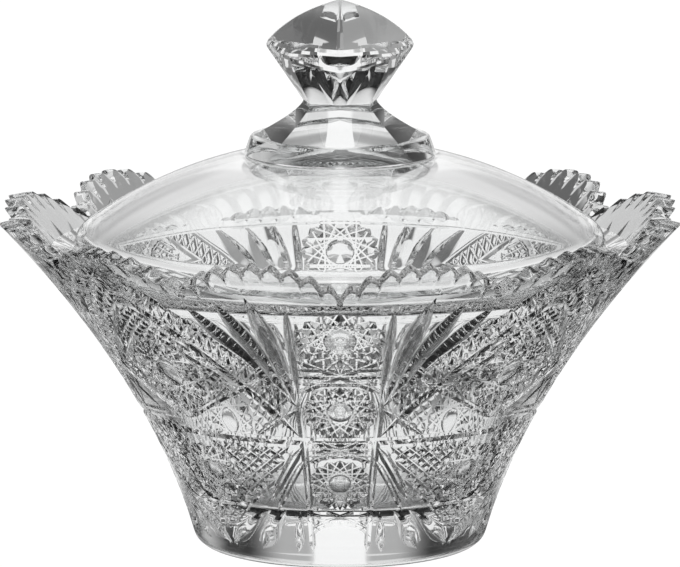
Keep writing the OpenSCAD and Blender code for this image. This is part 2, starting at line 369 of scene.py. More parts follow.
# Sections of the mitres: width, depth, and where they differ from the usual ones, taper and flat bottom
BAR_CUT = (1.9, 0.75)
RUNG_CUT = (1.7, 0.6)
BAND_EDGE_CUT = (2.2, 0.85)
RING_CUT = (3.0, 0.9, 0.5, 1.1)
LADDER_CUT = (1.7, 0.6, 2.0, 0.4)
ARCH_CUT = (1.8, 0.6, 0.1, 0.4)

# Sections of the leaves: width, depth, and share of the length at which they are widest
BAND_LEAF_CUT = (3.2, 1.2, 0.38)
FAN_LEAF_CUT = (6.5, 2.4, 0.38)

# Upper and lower ends of the cuts along the edges of the band
BAND_LEAF_A = 10.0
BAND_LEAF_TOP = 87.2
BAND_EDGE_LOW = 5.2

# Fans: the first leaf, and the step from leaf to leaf
FAN_LEAVES = 3
FAN_A = 17
FAN_STEP_A = 6.5
FAN_TOP = 89
FAN_FALL = 1.8
FAN_ROOT_A = 11

# Long mitres of the bands that frame the panels: both ends, width, depth, taper, flat bottom
LONG_MITRES = (
    ((10, 52.0), (41, 90.2), 2.0, 0.8, 6.0, 0.7),
    ((45, 85.4), (10, RING_Z), 2.8, 0.95, 12.0, 0.8),
    ((10, 52.5), (23.5, 42.5), 2.6, 0.9, 6.0, 0.7),
    ((17.5, 61.5), (45, 45.5), 2.2, 0.85, 4.0, 0.7),
    ((10, 40.5), (23.5, 21.1), 2.6, 0.9, 6.0, 0.7),
    ((10, 36.0), (22.0, 18.0), 1.8, 0.75, 4.0, 0.6),
)

# The ring line runs past both borders of the eighth
RING_ENDS = (-6, 51)

# Crossed rungs between the two long mitres: number, first and last angle, lean, heights, rise and lap
LADDER_RUNGS = 17
LADDER_A = 14.0
LADDER_END_A = 42.0
LADDER_LEAN = 1.5
LADDER_LOW = 47.6
LADDER_HIGH = 56.2
LADDER_RISE = 34.0
LADDER_LAP = 1.3

# Crosshatched panels: pitch, width and depth of the fine mitres, and the gap that they leave round the star
HATCH_CUT = (2.7, 1.7, 0.55)
HATCH_GAP = 0.2
UPPER_PANEL = ((25.5, 57.4), (45, 47.0), (64.5, 57.4), (45, 82.8))
LOWER_PANEL = ((13.5, 39.4), (24.6, 22.5), (45, 10.5), (65.4, 22.5), (76.5, 39.4))

# Arch over the plain window in the foot of the band
ARCH = ((-BAND, 11.6), (-8.4, 13.2), (-5.8, 14.3), (-2.9, 14.9), (0, 15.1))

# Leaves of the skirt: both ends, width, depth, and share of the length at which they are widest
SKIRT_LEAVES = (
    ((13.6, SKIRT_Z), (15.8, 5.4), 3.4, 1.1, 0.62),
    ((18.5, SKIRT_Z), (31.0, 5.4), 6.0, 1.5, 0.62),
    ((24.0, SKIRT_Z), (44.6, 5.8), 5.4, 1.4, 0.62),
)


def lay_bars():
    for z, rise in BARS:
        both_sides(mitre, (-BAND, z + rise), (BAND, z - rise), *BAR_CUT)
        for share in RUNG_SHARES:
            height = z + rise * share
            for middle in (0, 90):
                mitre((middle - BAND, height), (middle + BAND, height), *RUNG_CUT)


def lay_fans():
    for i in range(FAN_LEAVES):
        tip = (FAN_A + FAN_STEP_A * i, FAN_TOP - FAN_FALL * i)
        both_sides(leaf, tip, (FAN_ROOT_A + i, FAN_Z), *FAN_LEAF_CUT)


def lay_ladder():
    for i in range(LADDER_RUNGS):
        ends = []
        for t in (i / LADDER_RUNGS, (i + LADDER_LAP) / LADDER_RUNGS):
            a = LADDER_A + (LADDER_END_A - LADDER_A) * t
            low = (a + LADDER_LEAN, LADDER_LOW + LADDER_RISE * t)
            high = (a - LADDER_LEAN, LADDER_HIGH + LADDER_RISE * t)
            ends.append((low, high))
        both_sides(mitre, ends[0][0], ends[1][1], *LADDER_CUT)
        both_sides(mitre, ends[1][0], ends[0][1], *LADDER_CUT)


def lay_cuts():
    for star in BAND_STARS + (UPPER_STAR, LOWER_STAR):
        hobstar(*star)
    lay_bars()
    both_sides(mitre, (BAND, FAN_Z + 1), (BAND, BAND_EDGE_LOW), *BAND_EDGE_CUT)
    both_sides(leaf, (BAND_LEAF_A, BAND_LEAF_TOP), (BAND_LEAF_A, FAN_Z), *BAND_LEAF_CUT)
    lay_fans()
    for cut in LONG_MITRES:
        both_sides(mitre, *cut)
    mitre((RING_ENDS[0], RING_Z), (RING_ENDS[1], RING_Z), *RING_CUT)
    lay_ladder()
    for panel, star in ((UPPER_PANEL, UPPER_STAR), (LOWER_PANEL, LOWER_STAR)):
        crosshatch(panel, star[:2], star[2] + HATCH_GAP, *HATCH_CUT)
    for low, high in zip(ARCH, ARCH[1:]):
        both_sides(mitre, low, high, *ARCH_CUT)
    for cut in SKIRT_LEAVES:
        both_sides(leaf, *cut)


# Depth of the deepest cut at each of many flat spots
def depth_at(points):
    best = np.zeros(len(points))
    order = np.argsort(points[:, 0])
    sorted_x = points[order, 0]
    for outline, plane, group in facets:
        lo = outline.min(0) - 1e-6
        hi = outline.max(0) + 1e-6
        first = np.searchsorted(sorted_x, lo[0])
        last = np.searchsorted(sorted_x, hi[0])
        if first == last:
            continue
        which = order[first:last]
        p = points[which]
        keep = (p[:, 1] >= lo[1]) & (p[:, 1] <= hi[1])
        which = which[keep]
        p = p[keep]
        if len(p) == 0:
            continue
        inside = np.ones(len(p), bool)
        for i in range(len(outline)):
            a = outline[i]
            b = outline[(i + 1) % len(outline)]
            edge = b - a
            inside &= edge[0] * (p[:, 1] - a[1]) - edge[1] * (p[:, 0] - a[0]) > -1e-5
        value = p @ plane[:2] + plane[2]
        best[which[inside]] = np.maximum(best[which[inside]], value[inside])
    return best


# Creases and lines shorter than the first two are left out, and lines longer than the third are split
SHORT_CREASE = 0.03
SHORT_LINE = 0.02
LONG_LINE = 3.2
# Shares of a line at which its depth is compared with the deepest cut, and what counts as equal
PROBE_SHARES = np.linspace(0.04, 0.96, 9)
DEPTH_TOLERANCE = 1e-4
# Reach of a line that has no end yet
FAR_AWAY = 1e6


# Lines along which the surface bends: facet outlines, and lines where two cuts are equally deep
def crease_lines():
    lines = []
    for outline, plane, group in facets:
        for i in range(len(outline)):
            lines.append((outline[i], outline[(i + 1) % len(outline)], plane))
    lows = np.array([f[0].min(0) for f in facets])
    highs = np.array([f[0].max(0) for f in facets])
    owners = np.array([f[2] for f in facets])
    for i, (outline, plane, group) in enumerate(facets):
        near = (lows[:, 0] < highs[i, 0]) & (highs[:, 0] > lows[i, 0])
        near &= (lows[:, 1] < highs[i, 1]) & (highs[:, 1] > lows[i, 1])
        near &= owners > group
        for j in np.nonzero(near)[0]:
            gap = plane - facets[j][1]
            size = gap[0] ** 2 + gap[1] ** 2
            if size < 1e-10:
                continue
            origin = -gap[2] * gap[:2] / size
            direction = np.array((-gap[1], gap[0])) / math.sqrt(size)
            low, high = clip_line(origin, direction, outline, -FAR_AWAY, FAR_AWAY)
            if low < high:
                low, high = clip_line(origin, direction, facets[j][0], low, high)
            if high - low > SHORT_CREASE:
                lines.append((origin + direction * low, origin + direction * high, plane))
    return lines


# Lines that lie under a deeper cut are dropped, and the rest are trimmed to the eighth and split up
def visible_lines(lines):
    starts = np.array([line[0] for line in lines])
    ends = np.array([line[1] for line in lines])
    planes = np.array([line[2] for line in lines])
    spots = starts[:, None, :] + (ends - starts)[:, None, :] * PROBE_SHARES[None, :, None]
    own = (spots * planes[:, None, :2]).sum(2) + planes[:, None, 2]
    deepest = depth_at(spots.reshape(-1, 2)).reshape(own.shape)
    seen = (own > deepest - DEPTH_TOLERANCE).any(1)
    out = []
    for p, q in zip(starts[seen], ends[seen]):
        low = 0.0
        high = 1.0
        if abs(q[0] - p[0]) > 1e-9:
            cuts = sorted(((0 - p[0]) / (q[0] - p[0]), (DOMAIN_X - p[0]) / (q[0] - p[0])))
            low = max(low, cuts[0])
            high = min(high, cuts[1])
        elif p[0] < 0 or p[0] > DOMAIN_X:
            continue
        if high <= low:
            continue
        a = p + (q - p) * low
        b = p + (q - p) * high
        length = float(np.linalg.norm(b - a))
        if length < SHORT_LINE:
            continue
        n = max(1, math.ceil(length / LONG_LINE))
        for i in range(n):
            out.append((a + (b - a) * i / n, a + (b - a) * (i + 1) / n))
    return out


TOOTH_STEPS = 12
TOOTH_A = 360 / (SCALLOPS * TEETH)
SCALLOP_A = 360 / SCALLOPS
# Height of the plain rim above the cuts, and how much flatter the scallops of its lower edge are
PLAIN_RIM = 5.2
PLAIN_EASE = 1.0


# Columns of the rim: angle, and place within the tooth from notch to notch
def rim_columns(last_angle):
    spots = [2 * j / TOOTH_STEPS - 1 for j in range(TOOTH_STEPS)]
    out = []
    for tooth in range(int(last_angle / TOOTH_A) + 2):
        for w in spots:
            a = (tooth + 0.5 + w / 2) * TOOTH_A
            if a < last_angle - 1e-6:
                out.append((a, w))
    return out


# Place within the scallop, from notch to notch
def scallop_place(a):
    return 2 * ((a % SCALLOP_A) / SCALLOP_A) - 1


# Height of the rim's inner edge
def rim_z(a, w):
    u = scallop_place(a)
    return RIM_H - SCALLOP_DEPTH * u * u - TOOTH_DEPTH * (1 - math.cos(math.pi * w)) / 2


# Height of the line at which the cut part of the wall ends and the plain rim begins
def cut_top(a):
    u = scallop_place(a)
    return RIM_H - PLAIN_RIM - (SCALLOP_DEPTH - PLAIN_EASE) * u * u


EIGHTH_COLUMNS = rim_columns(float(EIGHTH)) + [(float(EIGHTH), 0.0)]
FOOT_COLUMNS = 36
SIDE_STEPS = 40
CUT_BOTTOM = 4.6
# Spots nearer than this are one, and triangles this narrow along the border of the eighth have no area
WELD = 1e-3
BORDER = 0.002
# Distance of the loose spots from each other, from the lines and from the plain rim
LOOSE_PITCH = 2.2
LOOSE_GAP = 0.3
LOOSE_TOP = 0.7
# Shares of that pitch: first row, distance of the rows, and first spot of the even and odd rows
LOOSE_START = 0.7
LOOSE_ROW = 0.87
LOOSE_FIRST = (0.25, 0.75)


def wall_point(a, z, off):
    m = wall_m(z)
    k = 1 / math.sqrt(1 + m * m)
    r = wall_r(z) + off * k
    t = math.radians(a)
    return (r * math.sin(t), -r * math.cos(t), z - off * k * m)


# Spots away from the lines, in staggered rows, that keep the plain areas curved
def loose_spots(lines):
    line_low = np.array([line[0] for line in lines])
    line_step = np.array([line[1] for line in lines]) - line_low
    line_size = (line_step ** 2).sum(1)
    out = []
    y = flat_y(CUT_BOTTOM) + LOOSE_PITCH * LOOSE_START
    row = 0
    while y < flat_y(RIM_H):
        z = float(np.interp(y, step_y, step_z))
        x = LOOSE_PITCH * LOOSE_FIRST[row % 2]
        while x < DOMAIN_X - LOOSE_GAP:
            p = np.array((x, y))
            t = np.clip(((p - line_low) * line_step).sum(1) / line_size, 0, 1)
            gap = p - line_low - line_step * t[:, None]
            clear = (gap ** 2).sum(1).min() > LOOSE_GAP ** 2
            if clear and z <= cut_top(math.degrees(x / FLAT_R)) - LOOSE_TOP:
                out.append(p)
            x += LOOSE_PITCH
        y += LOOSE_PITCH * LOOSE_ROW
        row += 1
    return out


# The cut wall of one eighth: angle, height and depth of its spots, and triangles
def eighth_wall():
    lay_cuts()
    lines = visible_lines(crease_lines())
    top = [flat(a, cut_top(a)) for a, w in EIGHTH_COLUMNS]
    bottom = [flat(EIGHTH * i / FOOT_COLUMNS, CUT_BOTTOM) for i in range(FOOT_COLUMNS + 1)]
    borders = [top, bottom]
    for low, high in ((bottom[0], top[0]), (bottom[-1], top[-1])):
        borders.append([low + (high - low) * i / SIDE_STEPS for i in range(SIDE_STEPS + 1)])
    spots = []
    edges = []
    for chain in lines + borders:
        base = len(spots)
        spots.extend(chain)
        edges.extend((base + i, base + i + 1) for i in range(len(chain) - 1))
    spots.extend(loose_spots(lines))
    coords = [Vector((float(p[0]), float(p[1]))) for p in spots]
    found = delaunay_2d_cdt(coords, edges, [], 0, WELD)
    verts = np.array([(v.x, v.y) for v in found[0]])
    depth = depth_at(verts)
    heights = np.interp(verts[:, 1], step_y, step_z)
    angles = np.degrees(verts[:, 0] / FLAT_R)
    tops = np.array([cut_top(a) for a in angles])
    column_a = [a for a, w in EIGHTH_COLUMNS]
    column_top = [cut_top(a) for a in column_a]
    tris = []
    for tri in found[2]:
        tri = list(tri)
        xs = verts[tri, 0]
        on_border = xs.max() < BORDER or xs.min() > DOMAIN_X - BORDER
        if on_border or verts[tri, 1].max() < flat_y(CUT_BOTTOM) + BORDER:
            continue
        if heights[tri].mean() > np.interp(angles[tri].mean(), column_a, column_top):
            continue
        tris.append(tri)
    depth[heights > tops - WELD] = 0
    return angles, heights, depth, tris


# Points nearer than this are merged, and edges that bend by more than this angle are sharp
MERGE = 0.004
SHARP_A = 14.0
LID_SHARP_A = 20.0


class Shape:
    """Vertices in millimetres and faces, gathered piece by piece and merged at the end."""

    def __init__(self):
        self.verts = []
        self.faces = []

    def add(self, points, faces):
        base = len(self.verts)
        self.verts.extend(points)
        self.faces.extend([base + i for i in f] for f in faces)

    # Rings of points joined into a band; each ring closes on itself
    def rings(self, rows):
        n = len(rows[0])
        points = [p for row in rows for p in row]
        faces = []
        for i in range(len(rows) - 1):
            for j in range(n):
                k = (j + 1) % n
                faces.append((i * n + j, i * n + k, (i + 1) * n + k, (i + 1) * n + j))
        self.add(points, faces)

    # A ring closed with a fan round its middle
    def cap(self, ring, middle, up):
        n = len(ring)
        faces = [(j, (j + 1) % n, n) if up else ((j + 1) % n, j, n) for j in range(n)]
        self.add(list(ring) + [middle], faces)

    # A finer ring joined to a coarser one with a whole number of its steps
    def change(self, fine, coarse):
        n, m = len(fine), len(coarse)
        share = n // m
        half = share // 2
        faces = []
        for j in range(m):
            k = (j + 1) % m
            for i in range(half):
                faces.append((j * share + i, (j * share + i + 1) % n, n + j))
            faces.append(((j * share + half) % n, n + k, n + j))
            for i in range(half, share):
                faces.append(((j * share + i) % n, (j * share + i + 1) % n, n + k))
        self.add(list(fine) + list(coarse), faces)

    # The finished object, merged and with its sharp edges marked; a face that comes twice is made once
    def build(self, name, sharp=SHARP_A):
        mesh = bpy.data.meshes.new(name)
        bm = bmesh.new()
        made = [bm.verts.new((x * MM, y * MM, z * MM)) for x, y, z in self.verts]
        for f in self.faces:
            if len(set(f)) == len(f):
                try:
                    bm.faces.new([made[i] for i in f])
                except ValueError:
                    continue
        bmesh.ops.remove_doubles(bm, verts=bm.verts, dist=MERGE * MM)
        bmesh.ops.dissolve_degenerate(bm, edges=bm.edges, dist=MERGE * 0.5 * MM)
        bmesh.ops.recalc_face_normals(bm, faces=bm.faces)
        if bm.calc_volume(signed=True) < 0:
            bmesh.ops.reverse_faces(bm, faces=bm.faces)
        limit = math.radians(sharp)
        for f in bm.faces:
            f.smooth = True
        for e in bm.edges:
            e.smooth = len(e.link_faces) == 2 and e.calc_face_angle(0.0) < limit
        bm.to_mesh(mesh)
        bm.free()
        obj = bpy.data.objects.new(name, mesh)
        scene.collection.objects.link(obj)
        return obj


def turned(a, r, z):
    t = math.radians(a)
    return (r * math.sin(t), -r * math.cos(t), z)


def circle(r, z, angles):
    return [turned(a, r, z) for a in angles]


def even_angles(n):
    return [360 * i / n for i in range(n)]


def arc(c, r, start, end, steps):
    out = []
    for i in range(steps + 1):
        t = math.radians(start + (end - start) * i / steps)
        out.append((c[0] + r * math.cos(t), c[1] + r * math.sin(t)))
    return out


# Rounded corner between the level line z = h and a wall that leaves it at radius r0 with slope m
def corner(r0, h, f, m, steps):
    centre = (r0 + m * f - f * math.sqrt(1 + m * m), h + f)
    return arc(centre, f, -90, -math.degrees(math.atan(m)), steps)


# The cut wall, repeated round the bowl with every second eighth mirrored
def add_cut_wall(shape):
    angles, heights, depth, tris = eighth_wall()
    base = [wall_point(a, z, -d) for a, z, d in zip(angles, heights, depth)]
    for c, s in ((1, 0), (0, 1), (-1, 0), (0, -1)):
        for side in (1, -1):
            points = [(c * x * side - s * y, s * x * side + c * y, z) for x, y, z in base]
            faces = tris if side == 1 else [t[::-1] for t in tris]
            shape.add(points, faces)


# Rim: softness of its edges, where the notch of a tooth begins, and how its rows are spread
RIM_FALL = RIM_RISE / RIM_WALL
RIM_ROUNDS = 8
RIM_SOFT = 0.5
EDGE_SINK = 0.03
NOTCH_FROM = 0.66
NOTCH_SINK_TOP = 0.3
NOTCH_SINK_EDGE = 0.5
PLAIN_ROWS = 4
TOP_SHARES = (0.34, 0.66)
INNER_SHARES = (0.10, 0.24, 0.42, 0.66, 1.0)
# Foot of the slope, and its soft change to the seat: gain of radius and of height
SLOPE_FOOT = (-0.9, -0.24)
SEAT_CURVE = ((1.2, 0.42), (0.3, 0.09), (-0.3, 0.0))
# Every fourth column of the rim goes on below it
SEAT_SKIP = 4
SHOULDER_STEPS = 8
INSIDE_STEPS = 15
# Shares of the radius at which the floor and the hollow under the foot have rings
FLOOR_SHARES = (0.7, 0.4, 0.15)
KICK_SHARES = (0.3, 0.7, 1.0)


# One column of the rim: up the plain wall, over the toothed top, and down to the slope beside the seat
def rim_profile(a, w):
    z = rim_z(a, w)
    edge = wall_r(z) - RIM_WALL
    z_out = z
    z_in = z
    for _ in range(RIM_ROUNDS):
        z_out = z - (wall_r(z_out) - edge) * RIM_FALL
        z_in = z - (upper_r(z_in) - edge) * RIM_FALL
    r_out = wall_r(z_out)
    r_in = upper_r(z_in)
    low = cut_top(a)
    notch = max(0.0, (abs(w) - NOTCH_FROM) / (1 - NOTCH_FROM))
    fang_r = r_in + FANG * notch
    profile = []
    for i in range(PLAIN_ROWS + 1):
        height = low + (z_out - RIM_SOFT - low) * i / PLAIN_ROWS
        profile.append((wall_r(height), height))
    profile.append((r_out - 0.15 * RIM_SOFT, z_out - 0.2 * RIM_SOFT))
    profile.append((r_out - RIM_SOFT, z_out + RIM_FALL * RIM_SOFT - EDGE_SINK))
    for t in TOP_SHARES:
        profile.append((r_out + (r_in - r_out) * t, z_out + (z_in - z_out) * t))
    inner_top = z_in - RIM_FALL * RIM_SOFT - EDGE_SINK - NOTCH_SINK_TOP * notch
    profile.append((fang_r + RIM_SOFT * 0.8, inner_top))
    profile.append((fang_r, z_in - 0.25 * RIM_SOFT - NOTCH_SINK_EDGE * notch))
    for t in INNER_SHARES:
        height = z_in - (z_in - SLOPE_Z) * t
        push = FANG * notch * max(0.0, 1 - (z_in - height) / FANG_H)
        profile.append((upper_r(height) + push, height))
    profile.append((upper_r(SLOPE_Z) + SLOPE_FOOT[0], SLOPE_Z + SLOPE_FOOT[1]))
    return [turned(a, r, z) for r, z in profile]


# Rim, seat, ledge, shoulder and the inside down to the floor
def add_rim_and_inside(shape):
    columns = rim_columns(360.0)
    rim_rows = [list(row) for row in zip(*(rim_profile(a, w) for a, w in columns))]
    shape.rings(rim_rows)
    angles = [a for a, w in columns[::SEAT_SKIP]]
    section = [(SEAT_R + gain, SEAT_Z + rise) for gain, rise in SEAT_CURVE]
    shape.change(rim_rows[-1], circle(*section[0], angles))
    section.append((LEDGE_R + BEVEL, SEAT_Z))
    section += [(LEDGE_R + BEVEL * 0.3, SEAT_Z - BEVEL * 0.3), (LEDGE_R, SEAT_Z - BEVEL)]
    joint_z = SEAT_Z - SHOULDER_H
    joint_r = wall_r(joint_z) - SIDE_WALL
    for i in range(1, SHOULDER_STEPS + 1):
        t = i / SHOULDER_STEPS
        height = SEAT_Z - BEVEL + (joint_z - SEAT_Z + BEVEL) * t
        section.append((LEDGE_R + (joint_r - LEDGE_R) * t, height))
    fillet = corner(wall_r(FLOOR_T) - SIDE_WALL, FLOOR_T, FLOOR_ROUND, wall_m(FLOOR_T), steps=10)
    low_z = fillet[-1][1]
    for i in range(1, INSIDE_STEPS):
        z = joint_z + (low_z - joint_z) * i / INSIDE_STEPS
        section.append((wall_r(z) - SIDE_WALL, z))
    section += fillet[::-1]
    flat_r = fillet[0][0]
    section += [(flat_r * t, FLOOR_T) for t in FLOOR_SHARES]
    rings = [circle(r, z, angles) for r, z in section]
    shape.rings(rings)
    shape.cap(rings[-1], (0, 0, FLOOR_T), True)


# Foot: the rounding below the cuts, the standing ring and the shallow hollow inside it
def add_foot(shape):
    angles = [EIGHTH * i / FOOT_COLUMNS for i in range(FOOT_COLUMNS * 8)]
    rounding = corner(FOOT_R, 0, FOOT_ROUND, wall_m(0), steps=10)
    foot_in = FOOT_R - FOOT_ROUND - STAND_W
    section = [(foot_in * t, KICK_H) for t in KICK_SHARES]
    section += [(foot_in + KICK_H * 0.5, KICK_H * 0.45), (foot_in + KICK_H, 0)]
    section += rounding
    start = rounding[-1][1]
    for t in (0.5, 1.0):
        height = start + (CUT_BOTTOM - start) * t
        section.append((wall_r(height), height))
    rings = [circle(r, z, angles) for r, z in section]
    shape.rings(rings)
    shape.cap(rings[0], (0, 0, KICK_H), False)


def make_bowl():
    shape = Shape()
    add_cut_wall(shape)
    add_rim_and_inside(shape)
    add_foot(shape)
    return shape.build("bowl_glass")


# Columns round the lid and the knob
ROUND_COLUMNS = 240
# Lid: angle at which its hollow is closed, place of a ring on its ground edge, and shares of its land
HOLLOW_TOP_A = 87
GROUND_SPOT = 2.2
LAND_SHARES = (0.96, 0.6, 0.2)


# A thick dome with a rounded edge that is ground flat underneath
def make_lid():
    shape = Shape()
    edge_z = SEAT_Z + EDGE_H
    rise = LAND_Z - edge_z
    centre_z = (LAND_Z + edge_z) / 2 - (LID_R ** 2 - LAND_R ** 2) / (2 * rise)
    dome_r = math.hypot(LAND_R, LAND_Z - centre_z)
    hollow_r = dome_r - LID_T
    skirt_r = LID_R - EDGE_W
    round_r = LID_R - EDGE_ROUND
    round_z = centre_z + math.sqrt((dome_r - EDGE_ROUND) ** 2 - round_r ** 2)
    round_a = math.degrees(math.atan2(round_z - centre_z, round_r))
    land_a = math.degrees(math.atan2(LAND_Z - centre_z, LAND_R))
    skirt_a = math.degrees(math.acos(skirt_r / hollow_r))
    low = SEAT_Z + LID_LIFT
    section = [(skirt_r + BEVEL, low), (skirt_r + GROUND_SPOT, low), (LID_R - BEVEL, low)]
    section += [(LID_R - BEVEL * 0.25, low + BEVEL * 0.3), (LID_R, low + BEVEL)]
    section += arc((round_r, round_z), EDGE_ROUND, 0, round_a, steps=10)
    section += arc((0, centre_z), dome_r, round_a, land_a, steps=40)[1:]
    section += [(LAND_R * t, LAND_Z) for t in LAND_SHARES]
    hollow = arc((0, centre_z), hollow_r, HOLLOW_TOP_A, skirt_a, steps=48)
    hollow += [(skirt_r, low + BEVEL * 1.5), (skirt_r, low + BEVEL)]
    angles = even_angles(ROUND_COLUMNS)
    outer = [circle(r, z, angles) for r, z in section]
    inner = [circle(r, z, angles) for r, z in hollow]
    shape.rings(outer)
    shape.cap(outer[-1], (0, 0, LAND_Z), True)
    shape.rings(inner + [outer[0]])
    shape.cap(inner[0], (0, 0, centre_z + hollow_r), False)
    return shape.build("lid_dome", sharp=LID_SHARP_A)


# Knob: steps of its parts, and how far the taper and the head lie inside the radius of the girdle
FLARE_STEPS = 16
TAPER_STEPS = 6
HEAD_STEPS = 26
TAPER_INSET = 0.9
HEAD_INSET = 0.8
# Power that sets the rings of the head a little closer towards the tip, and share left of its ridges
HEAD_CROWD = 0.9
RIDGE_BLUNT = 0.972
# Powers of the curve that rounds the sides of the girdle, of the head's lower end and of its tip
GIRDLE_POWER = 1.16
HEAD_POWER = 1.14
TIP_POWER = 1.10
TIP_GAP = 0.02
# Rings of the foot: how far they lie inside its radius, and height
FOOT_SECTION = ((0.4, FILM_GAP), (0.1, 0.12), (0.0, 0.4), (0.7, 2.6), (1.5, 4.8), (1.75, 5.4))
FOOT_TOP_INSET = 2.3
# Rings of the girdle: how far they lie inside its radius, height in it, and share of the head's outline
GIRDLE_SECTION = ((0.25, 0.8, 0.25), (0.0, 1.7, 0.5), (0.2, 2.7, 0.8))


# Share of the radius at an angle, on eight sides whose corners stand at 1 and at side by turns
def eight_share(a, side):
    t = a % 90
    t = math.radians(min(t, 90 - t))
    eighth = math.radians(EIGHTH)
    return side * math.sin(eighth) / (math.sin(t) + side * math.sin(eighth - t))


# Share of the radius at an angle, on a square that stands on a corner, with full sides and blunt ridges
def ridge_share(a, power):
    t = math.radians(a)
    c = abs(math.cos(t))
    s = abs(math.sin(t))
    return min((c ** power + s ** power) ** (-1 / power), RIDGE_BLUNT / max(c, s))


# A round foot, a hollow eight-sided flare, an eight-sided taper and a head with four soft ridges
def make_knob():
    shape = Shape()
    angles = even_angles(ROUND_COLUMNS)
    rows = []
    for inset, z in FOOT_SECTION + ((FOOT_TOP_INSET, KNOB_FOOT_T),):
        rows.append(circle(KNOB_FOOT_R - inset, z, angles))
    for i in range(FLARE_STEPS + 1):
        u = 1 - i / FLARE_STEPS
        r = WAIST_R + (FLARE_R - WAIST_R) * u ** FLARE_CURVE
        z = WAIST_H + (KNOB_FOOT_T - WAIST_H) * u
        side = WAIST_SHARE + (FLARE_SHARE - WAIST_SHARE) * u
        rows.append([turned(a, r * eight_share(a, side), z) for a in angles])
    for i in range(1, TAPER_STEPS + 1):
        t = i / TAPER_STEPS
        r = WAIST_R + (GIRDLE_R - TAPER_INSET - WAIST_R) * t
        z = WAIST_H + (GIRDLE_H - WAIST_H) * t
        side = WAIST_SHARE + (1 - WAIST_SHARE) * t
        rows.append([turned(a, r * eight_share(a, side), z) for a in angles])
    for inset, rise, mix in GIRDLE_SECTION:
        row = []
        for a in angles:
            share = eight_share(a, 1.0) * (1 - mix) + ridge_share(a, GIRDLE_POWER) * mix
            row.append(turned(a, (GIRDLE_R - inset) * share, GIRDLE_H + rise))
        rows.append(row)
    for i in range(HEAD_STEPS):
        t = (i / HEAD_STEPS) ** HEAD_CROWD
        r = (GIRDLE_R - HEAD_INSET) * (1 - t)
        z = HEAD_H + (KNOB_H - HEAD_H) * t + HEAD_BULGE * math.sin(math.pi * t ** BULGE_POWER)
        z = min(z, KNOB_H - TIP_GAP)
        power = HEAD_POWER + (TIP_POWER - HEAD_POWER) * t
        rows.append([turned(a, r * ridge_share(a, power), z) for a in angles])
    lifted = [[(x, y, z + KNOB_Z) for x, y, z in row] for row in rows]
    shape.rings(lifted)
    shape.cap(lifted[0], (0, 0, KNOB_Z + FILM_GAP), False)
    shape.cap(lifted[-1], (0, 0, KNOB_Z + KNOB_H), True)
    return shape.build("knob_glass")


# Film that bonds the knob to the lid
BOND_COLUMNS = 96


def make_bond():
    shape = Shape()
    low = LAND_Z + FILM_GAP
    high = LAND_Z + BOND_T - FILM_GAP
    rings = [circle(KNOB_FOOT_R - BOND_INSET, z, even_angles(BOND_COLUMNS)) for z in (low, high)]
    shape.rings(rings)
    shape.cap(rings[0], (0, 0, low), False)
    shape.cap(rings[1], (0, 0, high), True)
    return shape.build("bond_clear")


# Clear crystal: a colourless glass with a faint waviness and traces of wiping
def crystal(name, ior, wave, wave_size, roughness):
    mat = bpy.data.materials.new(name)
    mat.use_nodes = True
    nodes = mat.node_tree.nodes
    links = mat.node_tree.links
    shader = nodes["Principled BSDF"]
    shader.inputs["Base Color"].default_value = (0.985, 0.99, 0.99, 1)
    shader.inputs["Transmission Weight"].default_value = 1
    shader.inputs["IOR"].default_value = ior
    place = nodes.new("ShaderNodeTexCoord")
    haze = nodes.new("ShaderNodeTexNoise")
    haze.inputs["Scale"].default_value = 18
    haze.inputs["Detail"].default_value = 3
    links.new(place.outputs["Object"], haze.inputs["Vector"])
    spread = nodes.new("ShaderNodeMapRange")
    spread.inputs["From Min"].default_value = 0.35
    spread.inputs["From Max"].default_value = 0.75
    spread.inputs["To Min"].default_value = 0.0
    spread.inputs["To Max"].default_value = roughness
    links.new(haze.outputs["Fac"], spread.inputs["Value"])
    links.new(spread.outputs["Result"], shader.inputs["Roughness"])
    ripple = nodes.new("ShaderNodeTexNoise")
    ripple.inputs["Scale"].default_value = wave_size
    ripple.inputs["Detail"].default_value = 1
    links.new(place.outputs["Object"], ripple.inputs["Vector"])
    bump = nodes.new("ShaderNodeBump")
    bump.inputs["Strength"].default_value = wave
    bump.inputs["Distance"].default_value = 0.0005
    links.new(ripple.outputs["Fac"], bump.inputs["Height"])
    links.new(bump.outputs["Normal"], shader.inputs["Normal"])
    return mat


bowl = make_bowl()
lid = make_lid()
knob = make_knob()
bond = make_bond()

bowl.data.materials.append(crystal("bowl_crystal_look", ior=1.55, wave=0.10, wave_size=60, roughness=0.03))
lid.data.materials.append(crystal("lid_crystal_look", ior=1.52, wave=0.08, wave_size=40, roughness=0.02))
knob.data.materials.append(crystal("knob_crystal_look", ior=1.55, wave=0.05, wave_size=60, roughness=0.02))
bond.data.materials.append(crystal("bond_film_look", ior=1.5, wave=0.1, wave_size=90, roughness=0.05))

for piece, node, slot, body in (
    (bowl, "bowl", "bowl_crystal", "bowl"),
    (lid, "lid", "lid_crystal", "lid"),
    (knob, "knob", "knob_crystal", "lid"),
    (bond, "knob_bond", "bond_film", "lid"),
):
    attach(piece, body)
    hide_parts(node)


